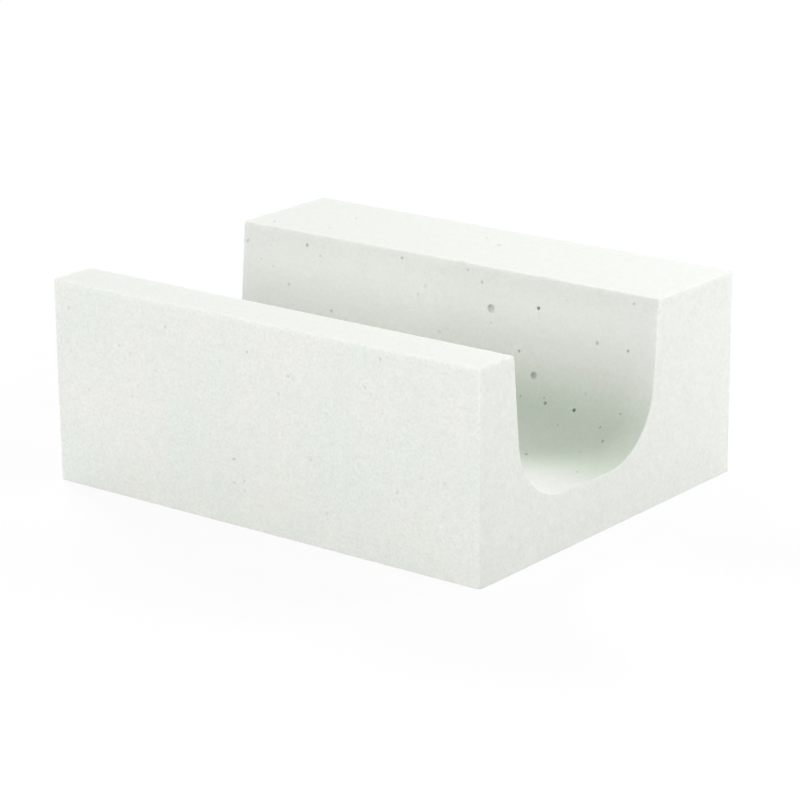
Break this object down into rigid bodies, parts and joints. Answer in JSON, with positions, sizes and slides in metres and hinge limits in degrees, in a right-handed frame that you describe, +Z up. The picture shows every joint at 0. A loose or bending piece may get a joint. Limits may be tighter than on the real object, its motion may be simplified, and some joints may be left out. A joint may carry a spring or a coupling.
{
  "type": "u-block",
  "caption": "U-shaped block of aerated concrete with one thin and one thick leg; its open channel holds the reinforcement and concrete of a lintel or ring beam.",
  "frame": {"origin": "middle of the bed face", "axes": "+X along the channel, +Y towards the thick leg, +Z up out of the channel's mouth"},
  "size_m": [0.5, 0.4, 0.2],
  "materials": {
    "aerated_concrete": "sawn, matt, finely porous with scattered open bubbles"
  },
  "bodies": {
    "root": {"u_block": "aerated_concrete"}
  },
  "joints": []
}
